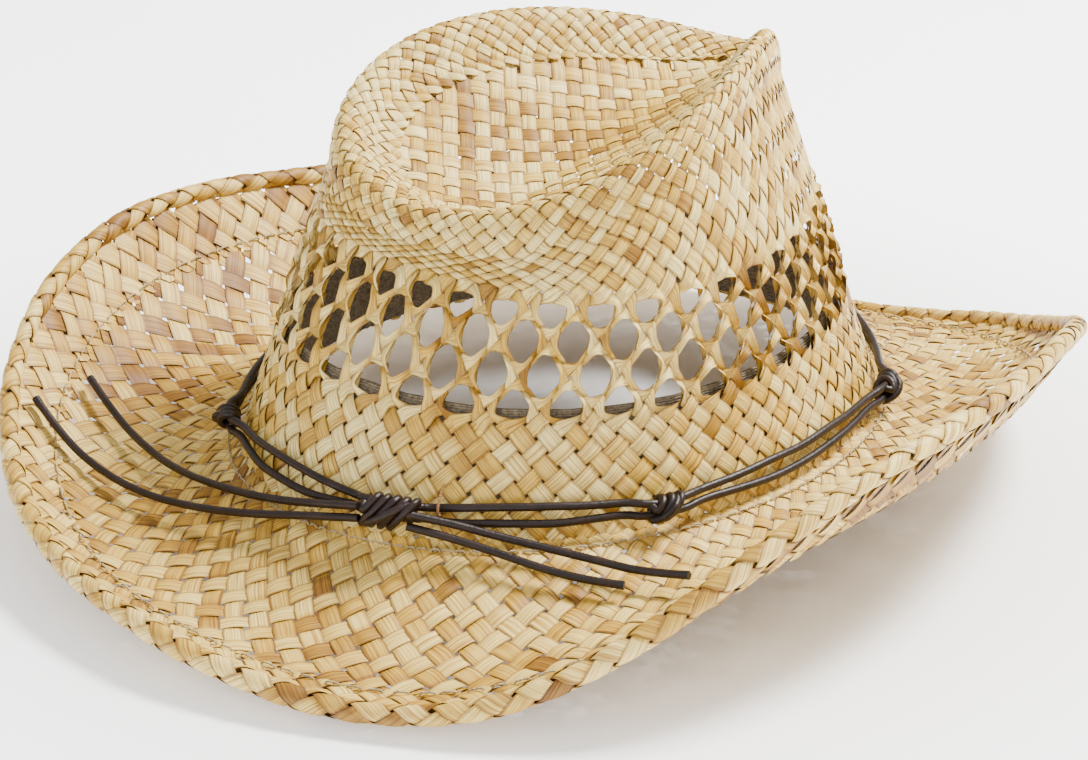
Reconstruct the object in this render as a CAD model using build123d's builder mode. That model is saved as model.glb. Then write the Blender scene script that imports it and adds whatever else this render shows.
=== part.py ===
"""Woven straw cowboy hat with an open vent band and a knotted cord hatband.

Millimetres, +Z up.  The hat stands on the dips of its brim.  Y runs along the
head: the big knot is on the -Y end, the pinched end of the crown is at +Y.
Angles called phi run round the hat from -Y, through +X, back to -Y.
"""

import os
from math import cos, degrees, hypot, pi, radians, sin, tan

from build123d import *

os.makedirs("parts", exist_ok=True)

# ---------------------------------------------------------------- dimensions
HEAD_X = 86.0  # half width of the crown at the brim, outside
HEAD_Y = 105.0  # half length of the crown at the brim, outside
STRAW = 1.8  # thickness of the two crossing straw strips
GAP = 0.3  # clearance kept between separate layers
CENTRE = (1.46, 5.42)  # where the head oval sits in the footprint of the brim
BREAK_Z = 22.49  # height of the brim break above the table

# Brim, at sixteen even angles from -Y: how far it reaches and how far it rises
REACH = [63, 67, 68, 64, 59.5, 57, 56, 54.5, 53, 53, 54.5, 57.5, 62, 67.5, 67.5, 62.5]
RISE = [-9.5, -16, -2, 29.5, 38.5, 37, 19, -2.5, -18, -8, 16.5, 26.5, 32.5, 29.5, 10.5, -5]
CURL = 2.3  # power of the upward curl
STATIONS = 32  # sections that each ring is lofted through
STEP = 2 * pi / STATIONS

ROLL_R = 2.9  # plaited roll along the brim edge
WIRE_R = 0.8  # shaping wire inside the roll
WIRE_BORE_R = 1.6
SLEEVE_LENGTH = 8.0
HEM_WIDTH = 14.0  # straw folded under the brim edge
HEM_THICK = 1.2
THREAD_R = 0.35

# Crown
VENT_Z0 = 28.0  # open weave from here, above the brim break
VENT_Z1 = 62.0  # to here
VENT_COUNT = 36  # holes in each row
VENT_ROWS = [(32.4, 8.0, 5.6), (40.9, 10.4, 9.4), (50.2, 10.0, 9.4), (58.2, 7.4, 5.2)]
FLOOR_U = 2.85  # where the dent turns into its narrow flat floor
FLOOR_Z = 74.0  # height of the dent's floor over the middle of the head
FLOOR_SLOPE = 0.25  # its rise toward the pinched end
SWEAT_HEIGHT = 32.0
SWEAT_THICK = 1.2

# Cord
CORD_R = 1.15
KNOT_ANGLES = [62, 122, 173, 225, 275, 325]  # overhand knots, degrees of phi
MAIN_KNOT_ANGLE = 17
STRAND_Z = (8.8, 4.4)  # upper and lower strand above the brim break
KNOT_Z = 6.6
KNOT_LENGTH = 11.0
KNOT_R = 4.4
MAIN_KNOT_LENGTH = 17.0
MAIN_KNOT_R = 6.0
MAIN_KNOT_Z = 7.6
CORD_INTO_KNOT = 1.5  # how far a strand is held inside the knot

# Routes of the four free tails, from the head oval's centre at the brim break
TAILS = {
    "tail_left_outer": [(4, -112, 2), (-15, -115.5, -2.4), (-35, -117.5, -6), (-56, -118.5, -8),
                        (-76, -118, -6.4), (-92, -117, -1.4), (-105, -115.5, 6.2)],
    "tail_left_inner": [(5, -108.5, 4.6), (-14, -109.5, 0.6), (-34, -108.5, -2.4), (-57, -105, -5.2),
                        (-78, -100, -4.6), (-94, -96, -1.2), (-108, -92.5, 4.6)],
    "tail_right_outer": [(45, -97.4, 3.4), (56.2, -91.8, 0.8), (68, -87, -1.8), (79, -82.2, -3.4),
                         (89, -77.2, -3.6)],
    "tail_right_inner": [(43.5, -95.6, 6.6), (53.8, -88, 3.2), (65.2, -80.8, 0.8), (77.5, -74.8, -1),
                         (90.5, -70.6, -1.8), (103, -67.4, 0.4)],
}


# ------------------------------------------------------------ shape of the hat
def around(values, phi):
    """Value at phi of the smooth closed curve through evenly spaced stations."""
    total = 0.0
    for i, value in enumerate(values):
        x = phi - 2 * pi * i / len(values)
        s = tan(x / 2)
        weight = 1.0 if abs(s) < 1e-9 else sin(len(values) * x / 2) / (len(values) * s)
        total += value * weight
    return total


def head_oval(phi):
    """Point of the head oval at the brim break."""
    return Vector(CENTRE[0] + HEAD_X * sin(phi), CENTRE[1] - HEAD_Y * cos(phi), BREAK_Z)


def outward(phi):
    """Unit vector square to the head oval, level, pointing out."""
    return Vector(HEAD_Y * sin(phi), -HEAD_X * cos(phi), 0).normalized()


def radial_plane(phi):
    """Upright plane through the hat at phi: x outward, y up."""
    out = outward(phi)
    return Plane(origin=head_oval(phi), x_dir=out, z_dir=out.cross(Vector(0, 0, 1)))


def brim_line(phi, t):
    """Top of the brim in its radial plane, t from 0 at the break to 1 at the edge."""
    reach = around(REACH, phi)
    rise = around(RISE, phi)
    dip = -26 - 11 * cos(phi) - 7 * cos(2 * phi)
    return reach * t, dip * t + (rise - dip) * max(t, 0) ** CURL


def brim_at(phi, t, drop=0.0):
    """Brim line lowered square to itself."""
    x0, z0 = brim_line(phi, t - 0.001)
    x1, z1 = brim_line(phi, t + 0.001)
    length = hypot(x1 - x0, z1 - z0)
    x, z = brim_line(phi, t)
    return x + drop * (z1 - z0) / length, z - drop * (x1 - x0) / length


def t_before_edge(phi, distance):
    """The t that lies a given distance in from the brim edge."""
    t = 1.0
    walked = 0.0
    last = brim_line(phi, 1.0)
    while walked < distance:
        t -= 0.002
        here = brim_line(phi, t)
        walked += hypot(here[0] - last[0], here[1] - last[1])
        last = here
    return t


def crown_rim(phi):
    """Highest line of the crown: a teardrop, round at -Y and pinched at +Y."""
    x = 52.6 * sin(phi) * (1 + 0.56 * cos(phi))
    y = 13.2 - 73.0 * cos(phi)
    z = 96.5 - 8.0 * cos(phi) - 12.4 * cos(2 * phi) + 3.5 * sin(phi)
    return Vector(CENTRE[0] + x, CENTRE[1] + y, BREAK_Z + z)


def crown_wall(phi, z, inset=0.0):
    """Point of the crown wall at a height above the break, moved in level by inset."""
    base = head_oval(phi)
    rim = crown_rim(phi)
    return base + (rim - base) * (z / (rim.Z - BREAK_Z)) - outward(phi) * inset


def dent_floor(phi):
    """Point of the dent's keel that faces phi."""
    y = 20.0 - 42.0 * cos(phi)
    return Vector(CENTRE[0], CENTRE[1] + y, BREAK_Z + FLOOR_Z + FLOOR_SLOPE * y)


def crown_surface(phi, u):
    """Crown above the vents: u 0 to 1 wall, 1 to 2 the rounded rim, 2 to 3 the dent."""
    rim = crown_rim(phi)
    foot = crown_wall(phi, VENT_Z1)
    shoulder = rim + (foot - rim).normalized() * min(14.0, 0.6 * (foot - rim).length)
    keel = dent_floor(phi)
    inward = Vector(keel.X - rim.X, keel.Y - rim.Y, 0)
    v_lip = 12.0 / inward.length
    lip = rim + inward * v_lip
    lip = Vector(lip.X, lip.Y, keel.Z + (rim.Z - keel.Z) * (1 - v_lip) ** 1.7)
    if u <= 1:
        return foot + (shoulder - foot) * u
    if u <= 2:
        s = u - 1
        corner = rim * 2 - (shoulder + lip) * 0.5
        return shoulder * (1 - s) ** 2 + corner * (2 * s * (1 - s)) + lip * s**2
    v = u - 2
    flat = lip + (keel - lip) * v
    return Vector(flat.X, flat.Y, keel.Z + (lip.Z - keel.Z) * (1 - v) ** 1.7)


def crown_inside(phi, u):
    """Crown surface moved in by the straw's thickness, square to the surface."""
    if u == 0:
        return crown_wall(phi, VENT_Z1, STRAW)
    along = crown_surface(phi + 0.01, u) - crown_surface(phi - 0.01, u)
    up = crown_surface(phi, u + 0.02) - crown_surface(phi, u - 0.02)
    return crown_surface(phi, u) - along.cross(up).normalized() * STRAW


def floor_edge(phi):
    """Edge of the dent's flat sloping floor."""
    edge = crown_surface(phi, FLOOR_U)
    return Vector(edge.X, edge.Y, BREAK_Z + FLOOR_Z + FLOOR_SLOPE * (edge.Y - CENTRE[1]))


def closed_curve(point_at, count=48):
    """Smooth closed wire through points taken round the hat."""
    points = [point_at(2 * pi * i / count) for i in range(count)]
    return Wire([Edge.make_spline(points, periodic=True)])


def save(part, name):
    part.label = name
    export_step(part, f"parts/{name}.step")
    print(f"{name:28s} {part.volume:10.1f} mm3  valid {part.is_valid}")


# ---------------------------------------------------------- lofts round the hat
def ring_around(outline, hole=None):
    """Closed ring lofted through outlines drawn in evenly spaced radial planes."""
    with BuildPart() as ring:
        for shape, mode in ((outline, Mode.ADD), (hole, Mode.SUBTRACT)):
            if shape is None:
                continue
            for first in (0, STATIONS // 2):
                for i in range(first, first + STATIONS // 2 + 1):
                    with BuildSketch(radial_plane(i * STEP)):
                        with BuildLine():
                            shape(i * STEP)
                        make_face()
                loft(mode=mode)
    return ring.part


def sheet_outline(phi, t_in, t_out, top, thick, lead_in=0.0):
    """Strip of sheet that follows the brim line between two places."""
    stops = [t_in + (t_out - t_in) * k / 7 for k in range(8)]
    upper = [brim_at(phi, t, top) for t in stops]
    lower = [brim_at(phi, t, top + thick) for t in reversed(stops)]
    Spline(*upper)
    Line(upper[-1], lower[0])
    Spline(*lower)
    if lead_in:
        Line(lower[-1], (-lead_in, -thick))
        Line((-lead_in, -thick), (-lead_in, 0))
        Line((-lead_in, 0), upper[0])
    else:
        Line(lower[-1], upper[0])


def brim_outline(phi):
    sheet_outline(phi, 0.02, t_before_edge(phi, ROLL_R + 0.5), 0.0, STRAW, lead_in=STRAW)


def hem_outline(phi):
    t_in = t_before_edge(phi, HEM_WIDTH)
    t_out = t_before_edge(phi, ROLL_R + 0.7)
    sheet_outline(phi, t_in, t_out, STRAW + GAP, HEM_THICK)


def many_sided(centre, radius):
    """Round outline of twelve straight sides, so that a ring lofted through it has no seam."""
    x, z = centre
    Polyline(
        *[(x + radius * cos(k * pi / 6), z + radius * sin(k * pi / 6)) for k in range(12)],
        close=True,
    )


def circle_outline(phi, distance, drop, radius):
    """Round outline square to the brim line, a distance in from the edge."""
    many_sided(brim_at(phi, t_before_edge(phi, distance) if distance else 1.0, drop), radius)


def roll_outline(phi):
    circle_outline(phi, 0, STRAW / 2, ROLL_R)


def bore_outline(phi):
    circle_outline(phi, 0, STRAW / 2, WIRE_BORE_R)


def wire_outline(phi):
    circle_outline(phi, 0, STRAW / 2, WIRE_R)


def hem_thread_outline(phi):
    circle_outline(phi, HEM_WIDTH - 1.0, -THREAD_R - 0.2, THREAD_R)


def level_band(z0, z1, inset, thick, levels=4):
    """Band that follows the crown wall between two heights."""
    with BuildPart() as band:
        for inner, mode in ((inset, Mode.ADD), (inset + thick, Mode.SUBTRACT)):
            for k in range(levels):
                z = z0 + (z1 - z0) * k / (levels - 1)
                with BuildSketch(Plane.XY.offset(BREAK_Z + z)):
                    points = [crown_wall(i * pi / 24, z, inner) for i in range(48)]
                    with BuildLine():
                        Spline(*[(p.X, p.Y) for p in points], periodic=True)
                    make_face()
            loft(mode=mode)
    return band.part


# -------------------------------------------------------------------- the brim
brim = ring_around(brim_outline)
save(brim, "brim")

brim_hem = ring_around(hem_outline)
save(brim_hem, "brim_hem")

brim_edge_roll = ring_around(roll_outline, bore_outline)
save(brim_edge_roll, "brim_edge_roll")

brim_wire = ring_around(wire_outline)
save(brim_wire, "brim_wire")

hem_stitching = ring_around(hem_thread_outline)
save(hem_stitching, "hem_stitching")

# Crimped sleeve over the joint of the wire, at the pinched end
with BuildPart() as wire_sleeve:
    joint_plane = radial_plane(pi)
    reach, rise = brim_at(pi, 1.0, STRAW / 2)
    joint = joint_plane.from_local_coords((reach, rise, 0))
    with BuildSketch(Plane(origin=joint, x_dir=joint_plane.x_dir, z_dir=joint_plane.z_dir)):
        Circle(WIRE_BORE_R - 0.15)
        Circle(WIRE_R + 0.3, mode=Mode.SUBTRACT)
    extrude(amount=SLEEVE_LENGTH / 2, both=True)
save(wire_sleeve.part, "wire_sleeve")

# ------------------------------------------------------------------- the crown
crown_base_band = level_band(0, VENT_Z0, 0, STRAW)
save(crown_base_band, "crown_base_band")

sweatband = level_band(0.4, SWEAT_HEIGHT, STRAW + GAP, SWEAT_THICK)
save(sweatband, "sweatband")

vent_wall = level_band(VENT_Z0, VENT_Z1, 0, STRAW)


def even_angles(z, count, shift):
    """Angles that space points evenly along the crown wall at one height."""
    fine = [2 * pi * i / 720 for i in range(721)]
    points = [crown_wall(phi, z) for phi in fine]
    walked = [0.0]
    for a, b in zip(points, points[1:]):
        walked.append(walked[-1] + (b - a).length)
    angles = []
    for k in range(count):
        target = walked[-1] * (k + shift) / count
        i = max(j for j, w in enumerate(walked) if w <= target)
        angles.append(fine[i] + (target - walked[i]) / (walked[i + 1] - walked[i]) * pi / 360)
    return angles


with BuildPart() as vent_band:
    add(vent_wall)
    for row, (z, width, height) in enumerate(VENT_ROWS):
        for phi in even_angles(z, VENT_COUNT, 0.5 * (row % 2)):
            along = crown_wall(phi + 0.01, z) - crown_wall(phi - 0.01, z)
            up = crown_wall(phi, z + 1) - crown_wall(phi, z - 1)
            face = Plane(origin=crown_wall(phi, z), x_dir=along, z_dir=along.cross(up))
            with BuildSketch(face):
                w, h = width / 2, height / 2
                Polygon((0, -h), (w, -h / 2.4), (w, h / 2.4), (0, h), (-w, h / 2.4), (-w, -h / 2.4))
    extrude(amount=5, both=True, mode=Mode.SUBTRACT)
save(vent_band.part, "vent_band")

LEVELS = [0, 0.5, 1, 1.17, 1.33, 1.5, 1.67, 1.83, 2, 2.15, 2.3, 2.45, 2.6, 2.72]
outer_loops = [closed_curve(lambda phi: crown_surface(phi, u)) for u in LEVELS]
inner_loops = [closed_curve(lambda phi: crown_inside(phi, u)) for u in LEVELS]
floor_down = Vector(0, FLOOR_SLOPE, -1).normalized() * STRAW
outer_loops.append(closed_curve(floor_edge))
inner_loops.append(closed_curve(lambda phi: floor_edge(phi) + floor_down))
outer_form = Solid.make_loft(outer_loops, ruled=True)
inner_form = Solid.make_loft(inner_loops, ruled=True)

with BuildPart() as crown_top:
    add(outer_form)
    add(inner_form, mode=Mode.SUBTRACT)
save(crown_top.part, "crown_top")

# --------------------------------------------------------------------- threads
def seam_outline(phi):
    many_sided(brim_at(phi, 0.055, -THREAD_R - GAP), THREAD_R)


seam_stitching = ring_around(seam_outline)
save(seam_stitching, "seam_stitching")

thread_inset = STRAW + GAP + SWEAT_THICK + 0.1
sweatband_stitching = level_band(SWEAT_HEIGHT - 2.4, SWEAT_HEIGHT - 1.7, thread_inset, 0.6, levels=2)
save(sweatband_stitching, "sweatband_stitching")


# ----------------------------------------------------------------- the hatband
def knot_plane(angle, z, radius):
    """Plane at a knot: x away from the crown, y down, z along the band."""
    phi = radians(angle)
    centre = crown_wall(phi, z, -1.17 * radius - 2 * GAP)
    return Plane(origin=centre, x_dir=outward(phi), z_dir=Vector(0, 0, 1).cross(outward(phi)))


def knot(plane, length, radius):
    """Wrapped knot: three turns side by side, flat where the cords enter."""
    end_radius = 0.84 * radius
    along = Plane(origin=plane.origin, x_dir=plane.z_dir, z_dir=plane.x_dir)
    with BuildPart() as wraps:
        with BuildSketch(along):
            with BuildLine():
                stops = [-length / 2 + length * k / 3 for k in range(4)]
                Line((stops[0], 0), (stops[0], end_radius))
                for a, b in zip(stops, stops[1:]):
                    ThreePointArc((a, end_radius), ((a + b) / 2, radius), (b, end_radius))
                Line((stops[3], end_radius), (stops[3], 0))
                Line((stops[3], 0), (stops[0], 0))
            make_face()
        revolve(axis=Axis(plane.origin, plane.z_dir))
    return wraps.part


main_plane = knot_plane(MAIN_KNOT_ANGLE, MAIN_KNOT_Z, MAIN_KNOT_R)
main_knot = knot(main_plane, MAIN_KNOT_LENGTH, MAIN_KNOT_R)
save(main_knot, "main_knot")

# Every knot round the band: its plane, half length, and where strands enter it
band = [(MAIN_KNOT_ANGLE, main_plane, MAIN_KNOT_LENGTH / 2, [(-2.2, -2.2), (-2.2, 1.8)])]
for number, angle in enumerate(KNOT_ANGLES, start=1):
    plane = knot_plane(angle, KNOT_Z, KNOT_R)
    save(knot(plane, KNOT_LENGTH, KNOT_R), f"overhand_knot_{number}")
    band.append((angle, plane, KNOT_LENGTH / 2, [(0, -2.0), (0, 2.0)]))


def in_knot(plane, entry, along):
    return plane.from_local_coords((entry[0], entry[1], along))


for number, (start, finish) in enumerate(zip(band, band[1:] + band[:1]), start=1):
    middle = radians((start[0] + finish[0] + (360 if finish[0] < start[0] else 0)) / 2)
    for row, name in enumerate(("upper", "lower")):
        with BuildPart() as strand:
            with BuildLine() as route:
                ThreePointArc(
                    in_knot(start[1], start[3][row], start[2] - CORD_INTO_KNOT),
                    crown_wall(middle, STRAND_Z[row], -CORD_R - 3 * GAP),
                    in_knot(finish[1], finish[3][row], CORD_INTO_KNOT - finish[2]),
                )
            with BuildSketch(Plane(origin=route.line @ 0, z_dir=route.line % 0)):
                Circle(CORD_R)
            sweep()
        save(strand.part, f"{name}_strand_{number}")


def arc_radii(points):
    """Largest even bend at each corner: 0.45 of the shorter run over tan(half the turn)."""
    radii = []
    for a, b, c in zip(points, points[1:], points[2:]):
        run = min((b - a).length, (c - b).length)
        turn = radians((b - a).get_angle(c - b))
        radii.append(0.45 * run / tan(turn / 2))
    return radii


TAIL_EXITS = {
    "tail_left_outer": ((2.6, 2.0), -1),
    "tail_left_inner": ((2.6, -1.6), -1),
    "tail_right_outer": ((2.6, 2.0), 1),
    "tail_right_inner": ((2.6, -1.6), 1),
}
for name, hand_points in TAILS.items():
    entry, side = TAIL_EXITS[name]
    exit_point = in_knot(main_plane, entry, side * (MAIN_KNOT_LENGTH / 2 - CORD_INTO_KNOT))
    origin = Vector(CENTRE[0], CENTRE[1], BREAK_Z)
    points = [exit_point] + [origin + Vector(*p) for p in hand_points]
    radii = arc_radii(points)
    with BuildPart() as tail:
        with BuildLine() as route:
            FilletPolyline(*points, radius=radii)
        with BuildSketch(Plane(origin=route.wire() @ 0, z_dir=route.wire() % 0)):
            Circle(CORD_R)
        sweep()
    save(tail.part, name)
    length = route.wire().length
    print(f"  length {length:.1f}, radii {[round(r) for r in radii]},"
          f" tube {tail.part.volume / (pi * CORD_R**2 * length):.3f} of section x length")
    print("  route", [tuple(round(c, 1) for c in p) for p in points])

# Short thread that tacks the band to the crown beside the main knot
tack_phi = radians(MAIN_KNOT_ANGLE + 7.5)
with BuildPart() as knot_tack:
    with BuildLine() as route:
        ThreePointArc(
            crown_wall(tack_phi, 13.0, -THREAD_R - 0.1),
            crown_wall(tack_phi, 9.6, -7.2),
            crown_wall(tack_phi, 6.2, -THREAD_R - 0.1),
        )
    with BuildSketch(Plane(origin=route.line @ 0, z_dir=route.line % 0)):
        Circle(THREAD_R)
    sweep()
save(knot_tack.part, "knot_tack")
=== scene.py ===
"""Looks of the woven straw cowboy hat, round the frame of its CAD part.

Lengths inside the shape functions are millimetres, as in the CAD, and Blender
gets metres.  Angles called phi run round the hat from -Y, through +X.
"""

import math
import random

import bpy
import numpy as np
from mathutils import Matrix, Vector
from mathutils.bvhtree import BVHTree


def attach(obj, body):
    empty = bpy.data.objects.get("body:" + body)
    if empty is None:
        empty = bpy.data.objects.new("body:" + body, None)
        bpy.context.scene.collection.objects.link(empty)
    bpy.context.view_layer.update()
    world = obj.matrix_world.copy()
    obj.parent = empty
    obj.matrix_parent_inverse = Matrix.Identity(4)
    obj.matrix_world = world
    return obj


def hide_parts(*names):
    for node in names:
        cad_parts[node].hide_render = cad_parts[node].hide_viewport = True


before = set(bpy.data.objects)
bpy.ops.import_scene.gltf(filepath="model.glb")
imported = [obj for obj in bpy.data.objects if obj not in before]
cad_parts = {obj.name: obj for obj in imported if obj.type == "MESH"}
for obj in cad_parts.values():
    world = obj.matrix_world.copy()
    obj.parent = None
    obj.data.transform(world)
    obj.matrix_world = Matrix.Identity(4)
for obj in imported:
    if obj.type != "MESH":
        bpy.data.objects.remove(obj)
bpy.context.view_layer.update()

MM = 0.001

# ------------------------------------------------------- dimensions of the hat
CENTRE = (1.46, 5.42)  # of the head oval, in plan
BREAK_Z = 22.49  # height of the oval where the brim breaks from the crown
HEAD_X = 86.0  # half width of the oval
HEAD_Y = 105.0  # half length of the oval
# Sixteen stations of the edge, from -Y through +X: how far out, and how high.  They
# come from a fit to the outline in the photo, in mm, rounded to the half.
REACH = [63, 67, 68, 64, 59.5, 57, 56, 54.5, 53, 53, 54.5, 57.5, 62, 67.5, 67.5, 62.5]
RISE = [-9.5, -16, -2, 29.5, 38.5, 37, 19, -2.5, -18, -8, 16.5, 26.5, 32.5, 29.5, 10.5, -5]
BRIM_DIP = (-26, -11, -7)  # slope at the break: mean, cos(phi) and cos(2 phi) terms
CURL = 2.3  # power of the upward curl, out along the brim
STRAW = 1.8  # thickness of the two crossing layers
ROLL_R = 2.9  # radius of the rolled edge
RIM_HALF = (52.6, 73.0)  # half width and half length of the crown's rim
RIM_TAPER = 0.56  # how much wider the rim is towards -Y
RIM_SHIFT = 13.2  # how far the rim's middle lies to +Y of the oval's
RIM_Z = (96.5, -8.0, -12.4, 3.5)  # height: mean, cos(phi), cos(2 phi), sin(phi)
SHOULDER = 14.0  # longest run of wall that the rounded rim takes up
LIP = 12.0  # plan width of the rounded lip inside the rim
KEEL = (20.0, 42.0)  # middle and half length of the dent's lowest line
KEEL_Z = (74.0, 0.25)  # its height, and its slope towards +Y
DENT_POWER = 1.7  # shape of the dent's sides
VENT_ROW_Z = [32.4, 40.9, 50.2, 58.2]
WALL_TOP = 62.0  # top of the vents, above the break
CORD_R = 1.15
NUDGE = 0.004  # small step of angle or share, to find directions on a surface
ANY_PHASE = 6.3  # upper end of a random phase

# ----------------------------------------------------------------- the shape


def around(values, phi):
    """Smooth closed curve through evenly spaced values, at phi."""
    count = len(values)
    total = np.zeros_like(phi, dtype=float)
    for i, value in enumerate(values):
        s = np.tan((phi - 2 * np.pi * i / count) / 2)
        near = np.abs(s) < 1e-9
        wave = np.sin(count * (phi - 2 * np.pi * i / count) / 2)
        weight = wave / (count * np.where(near, 1, s))
        total = total + value * np.where(near, 1.0, weight)
    return total


def vec(x, y, z):
    """Points from coordinates of any shapes that fit together."""
    return np.stack(np.broadcast_arrays(x, y, z), axis=-1).astype(float)


def head_oval(phi):
    """The oval where the brim breaks from the crown."""
    return vec(CENTRE[0] + HEAD_X * np.sin(phi), CENTRE[1] - HEAD_Y * np.cos(phi), BREAK_Z)


def outward(phi):
    """Level direction square to the head oval."""
    out = vec(HEAD_Y * np.sin(phi), -HEAD_X * np.cos(phi), 0)
    return out / np.linalg.norm(out, axis=-1, keepdims=True)


def brim_surface(phi, t):
    """Top of the brim, t from 0 at the break to 1 at the edge."""
    dip = BRIM_DIP[0] + BRIM_DIP[1] * np.cos(phi) + BRIM_DIP[2] * np.cos(2 * phi)
    up = dip * t + (around(RISE, phi) - dip) * np.maximum(t, 0) ** CURL
    return head_oval(phi) + outward(phi) * (around(REACH, phi) * t)[..., None] + vec(0, 0, up)


def crown_rim(phi):
    """Corner line of the crown, that its rounded rim bends in from."""
    x = RIM_HALF[0] * np.sin(phi) * (1 + RIM_TAPER * np.cos(phi))
    y = RIM_SHIFT - RIM_HALF[1] * np.cos(phi)
    z = RIM_Z[0] + RIM_Z[1] * np.cos(phi) + RIM_Z[2] * np.cos(2 * phi) + RIM_Z[3] * np.sin(phi)
    return vec(CENTRE[0] + x, CENTRE[1] + y, BREAK_Z + z)


def crown_wall(phi, z, inset=0.0):
    """Crown wall at a height above the break."""
    base = head_oval(phi)
    rim = crown_rim(phi)
    share = np.asarray(z) / (rim[..., 2] - BREAK_Z)
    return base + (rim - base) * share[..., None] - outward(phi) * inset


def crown_surface(phi, u):
    """Crown above the vents: u 0 to 1 wall, 1 to 2 the rounded rim, 2 to 3 the dent."""
    u = np.asarray(u, dtype=float)
    rim = crown_rim(phi)
    foot = crown_wall(phi, np.full_like(phi, WALL_TOP))
    down = foot - rim
    length = np.linalg.norm(down, axis=-1, keepdims=True)
    shoulder = rim + down / length * np.minimum(SHOULDER, 0.6 * length)
    y = KEEL[0] - KEEL[1] * np.cos(phi)
    keel = vec(CENTRE[0], CENTRE[1] + y, BREAK_Z + KEEL_Z[0] + KEEL_Z[1] * y)
    inward = keel - rim
    inward[..., 2] = 0
    v_lip = LIP / np.linalg.norm(inward, axis=-1)
    lip = rim + inward * v_lip[..., None]
    lip[..., 2] = keel[..., 2] + (rim - keel)[..., 2] * (1 - v_lip) ** DENT_POWER
    wall = foot + (shoulder - foot) * np.clip(u, 0, 1)[..., None]
    s = np.clip(u - 1, 0, 1)[..., None]
    corner = rim * 2 - (shoulder + lip) * 0.5
    bend = shoulder * (1 - s) ** 2 + corner * (2 * s * (1 - s)) + lip * s**2
    v = np.clip(u - 2, 0, 1)
    dent = lip + (keel - lip) * v[..., None]
    dent[..., 2] = keel[..., 2] + (lip - keel)[..., 2] * (1 - v) ** DENT_POWER
    return np.where((u <= 1)[..., None], wall, np.where((u <= 2)[..., None], bend, dent))


# ------------------------------------------------------------------ materials
WHITE = (1, 1, 1)


def node_material(name):
    """A new node material, its nodes and links, and its shader."""
    material = bpy.data.materials.new(name)
    material.use_nodes = True
    nodes = material.node_tree.nodes
    return material, nodes, material.node_tree.links, nodes["Principled BSDF"]


def link_ramp(nodes, links, source, stops):
    """Colours from a value, by stops of (position, colour) in order."""
    ramp = nodes.new("ShaderNodeValToRGB")
    ramp.color_ramp.elements[0].position = stops[0][0]
    ramp.color_ramp.elements[0].color = (*stops[0][1], 1)
    ramp.color_ramp.elements[1].position = stops[-1][0]
    ramp.color_ramp.elements[1].color = (*stops[-1][1], 1)
    for position, colour in stops[1:-1]:
        ramp.color_ramp.elements.new(position).color = (*colour, 1)
    links.new(source, ramp.inputs["Fac"])
    return ramp.outputs["Color"]


def mixed(nodes, links, blend, factor, a, b):
    """A mix of two colour sockets by a set factor."""
    mix = nodes.new("ShaderNodeMix")
    mix.data_type = "RGBA"
    mix.blend_type = blend
    factor_in, a_in, b_in, colour_out = 0, 6, 7, 2  # sockets of the node's colour form
    mix.inputs[factor_in].default_value = factor
    links.new(a, mix.inputs[a_in])
    links.new(b, mix.inputs[b_in])
    return mix.outputs[colour_out]


def bump_normal(nodes, links, shader, height, strength, distance=0.00025):
    bump = nodes.new("ShaderNodeBump")
    bump.inputs["Strength"].default_value = strength
    bump.inputs["Distance"].default_value = distance
    links.new(height, bump.inputs["Height"])
    links.new(bump.outputs["Normal"], shader.inputs["Normal"])


def noise(nodes, links, vector, scale, detail=3.0):
    """Fractal noise at a vector, as a value."""
    node = nodes.new("ShaderNodeTexNoise")
    node.inputs["Scale"].default_value = scale
    node.inputs["Detail"].default_value = detail
    node.inputs["Roughness"].default_value = 0.6
    links.new(vector, node.inputs["Vector"])
    return node.outputs["Fac"]


def stretched(nodes, links, vector, scale):
    """A vector scaled along each of its axes."""
    mapping = nodes.new("ShaderNodeMapping")
    mapping.inputs["Scale"].default_value = scale
    links.new(vector, mapping.inputs["Vector"])
    return mapping.outputs["Vector"]


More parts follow.
